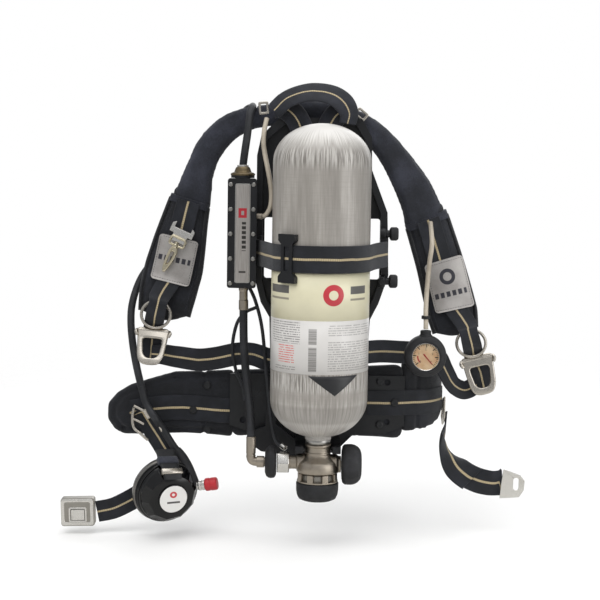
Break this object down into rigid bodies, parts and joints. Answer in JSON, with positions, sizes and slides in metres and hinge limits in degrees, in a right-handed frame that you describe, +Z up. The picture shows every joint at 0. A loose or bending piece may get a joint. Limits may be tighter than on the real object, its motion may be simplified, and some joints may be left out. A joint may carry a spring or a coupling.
{
  "type": "breathing apparatus",
  "caption": "Firefighter back-worn air set: composite cylinder in a padded harness, with pressure reducer, demand regulator, gauge and waist belt.",
  "frame": {"origin": "centre of the flat hanging face on the wearer side of the back frame", "axes": "+X right when the cylinder side is looked at, +Y out of the hanging face towards the wearer, +Z up"},
  "size_m": [0.6925, 0.2896, 0.6608],
  "materials": {
    "frame_plastic": "semi-matt moulded black plastic",
    "soft_rubber": "matt black rubber",
    "composite": "silver grey glass and carbon overwrap under a clear resin coat",
    "alloy": "bare aluminium",
    "webbing": "charcoal woven webbing with a beige tracer stripe",
    "forged_metal": "satin forged valve metal, grey-champagne",
    "nickel": "satin nickel plate",
    "spring_steel": "drawn spring wire",
    "hose_rubber": "black hose rubber",
    "gauge_line": "pale grey-beige hose sheath",
    "padding": "charcoal woven cover over foam",
    "chrome": "satin chrome plated steel",
    "hook_brass": "pale nickel-brass",
    "gloss_black": "polished black shell",
    "red_plastic": "red moulded plastic"
  },
  "bodies": {
    "root": {"back_frame": "frame_plastic", "cylinder_cradle": "soft_rubber", "neck_saddle": "frame_plastic", "cylinder_wrap": "composite", "cylinder_liner": "alloy", "cylinder_band": "webbing", "valve_body": "forged_metal", "cylinder_gauge": "alloy", "valve_bumper": "soft_rubber", "coupling_nut": "nickel", "pressure_elbow": "forged_metal", "reducer_body": "frame_plastic", "reducer_cover": "frame_plastic", "reducer_spring": "spring_steel", "pressure_hose": "hose_rubber", "air_hose_upper": "hose_rubber", "gauge_line_upper": "gauge_line", "gauge_line_lower": "gauge_line", "shoulder_pad_left": "padding", "shoulder_pad_right": "padding", "yoke_web_left": "webbing", "yoke_web_right": "webbing", "pad_strap_left": "webbing", "pad_strap_right": "webbing", "lower_strap_left": "webbing", "lower_strap_right": "webbing", "hook_plate": "chrome", "lumbar_pad": "padding"},
    "handwheel": {"handwheel": "soft_rubber", "valve_stem": "nickel"},
    "coupling": {"coupling_ring": "soft_rubber"},
    "band_slide": {"band_slide": "frame_plastic"},
    "knob_upper": {"bracket_knob_upper": "soft_rubber"},
    "knob_lower": {"bracket_knob_lower": "soft_rubber"},
    "ring_left": {"strap_ring_left": "chrome"},
    "ring_right": {"strap_ring_right": "chrome"},
    "buckle_left": {"strap_buckle_left": "chrome"},
    "buckle_right": {"strap_buckle_right": "chrome"},
    "hook": {"snap_hook": "hook_brass"},
    "hook_gate": {"hook_gate": "hook_brass"},
    "belt_left": {"belt_pad_left": "padding"},
    "belt_right": {"belt_pad_right": "padding"},
    "waist_left": {"belt_adjuster_left": "chrome", "waist_strap_left": "webbing", "buckle_strap": "webbing", "regulator_holder": "frame_plastic", "regulator_body": "gloss_black", "regulator_cover": "gloss_black", "purge_stem": "nickel", "air_hose_lower": "hose_rubber"},
    "purge_knob": {"purge_knob": "red_plastic"},
    "waist_buckle": {"buckle_case": "chrome"},
    "buckle_button": {"buckle_button": "chrome"},
    "waist_right": {"belt_adjuster_right": "chrome", "waist_strap_right": "webbing"},
    "buckle_tongue": {"buckle_tongue": "chrome"},
    "gauge": {"gauge_case": "soft_rubber"},
    "gauge_needle": {"gauge_needle": "red_plastic"},
    "piston": {"reducer_piston": "nickel"},
    "handle": {"carry_handle": "webbing"}
  },
  "joints": [
    {"name": "handwheel_turn", "type": "hinge", "parent": "root", "child": "handwheel", "pos_m": [0.046, -0.095, -0.266], "axis": [1, 0, 0], "range_deg": [0, 900]},
    {"name": "coupling_turn", "type": "hinge", "parent": "root", "child": "coupling", "pos_m": [-0.068, -0.095, -0.264], "axis": [1, 0, 0], "continuous": true},
    {"name": "band_slide_travel", "type": "hinge", "parent": "root", "child": "band_slide", "pos_m": [0, -0.095, 0.0345], "axis": [0, 0, 1], "range_deg": [-8, 12]},
    {"name": "knob_upper_turn", "type": "hinge", "parent": "root", "child": "knob_upper", "pos_m": [0.108, -0.022, 0.064], "axis": [1, 0, 0], "continuous": true},
    {"name": "knob_lower_turn", "type": "hinge", "parent": "root", "child": "knob_lower", "pos_m": [0.108, -0.022, -0.006], "axis": [1, 0, 0], "continuous": true},
    {"name": "ring_left_swing", "type": "hinge", "parent": "root", "child": "ring_left", "pos_m": [-0.243, -0.0075, -0.042], "axis": [-1, 0, 0], "range_deg": [0, 50]},
    {"name": "ring_right_swing", "type": "hinge", "parent": "root", "child": "ring_right", "pos_m": [0.227, -0.0075, -0.078], "axis": [-1, 0, 0], "range_deg": [0, 50]},
    {"name": "buckle_left_tilt", "type": "hinge", "parent": "root", "child": "buckle_left", "pos_m": [-0.246, -0.0045, -0.081], "axis": [-1, 0, 0], "range_deg": [0, 15]},
    {"name": "buckle_right_tilt", "type": "hinge", "parent": "root", "child": "buckle_right", "pos_m": [0.235, -0.0045, -0.114], "axis": [-0.9713, 0, 0.2377], "range_deg": [0, 15]},
    {"name": "hook_swing", "type": "hinge", "parent": "root", "child": "hook", "pos_m": [-0.2085, 0.004, 0.047], "axis": [0, 1, 0], "range_deg": [-25, 25]},
    {"name": "hook_gate_open", "type": "hinge", "parent": "hook", "child": "hook_gate", "pos_m": [-0.2165, 0.002, 0.036], "axis": [0, 1, 0], "range_deg": [0, 15]},
    {"name": "belt_left_fold", "type": "hinge", "parent": "root", "child": "belt_left", "pos_m": [-0.1345, 0.0165, -0.195], "axis": [0, 0, -1], "range_deg": [0, 75]},
    {"name": "belt_right_fold", "type": "hinge", "parent": "root", "child": "belt_right", "pos_m": [0.1335, 0.0165, -0.195], "axis": [0, 0, 1], "range_deg": [0, 40]},
    {"name": "waist_left_swing", "type": "hinge", "parent": "belt_left", "child": "waist_left", "pos_m": [-0.277, -0.01, -0.218], "axis": [0, 1, 0], "range_deg": [-12, 12]},
    {"name": "purge_knob_turn", "type": "hinge", "parent": "waist_left", "child": "purge_knob", "pos_m": [-0.174, -0.048, -0.311], "axis": [0.9794, -0.1212, 0.1616], "range_deg": [0, 180]},
    {"name": "waist_buckle_swing", "type": "hinge", "parent": "waist_left", "child": "waist_buckle", "pos_m": [-0.329, -0.03, -0.357], "axis": [0, 0, 1], "range_deg": [-15, 15]},
    {"name": "buckle_button_press", "type": "slide", "parent": "waist_buckle", "child": "buckle_button", "axis": [0, 1, 0], "range_m": [0, 0.003]},
    {"name": "waist_right_swing", "type": "hinge", "parent": "belt_right", "child": "waist_right", "pos_m": [0.193, 0.062, -0.208], "axis": [1, 0, 0], "range_deg": [-10, 10]},
    {"name": "buckle_tongue_swing", "type": "hinge", "parent": "waist_right", "child": "buckle_tongue", "pos_m": [0.2795, -0.013, -0.308], "axis": [0, 0, 1], "range_deg": [-12, 12]},
    {"name": "gauge_swing", "type": "hinge", "parent": "root", "child": "gauge", "pos_m": [0.156, -0.046, -0.075], "axis": [0, 1, 0], "range_deg": [-10, 10]},
    {"name": "gauge_needle_turn", "type": "hinge", "parent": "gauge", "child": "gauge_needle", "pos_m": [0.156, -0.046, -0.113], "axis": [0, 1, 0], "range_deg": [-270, 0]},
    {"name": "reducer_piston_travel", "type": "slide", "parent": "root", "child": "piston", "axis": [0, 0, 1], "range_m": [0, 0.003], "deforming": ["reducer_spring"]},
    {"name": "carry_handle_fold", "type": "hinge", "parent": "root", "child": "handle", "pos_m": [-0.017, -0.038, 0.232], "axis": [1, 0, 0], "range_deg": [0, 12]}
  ]
}
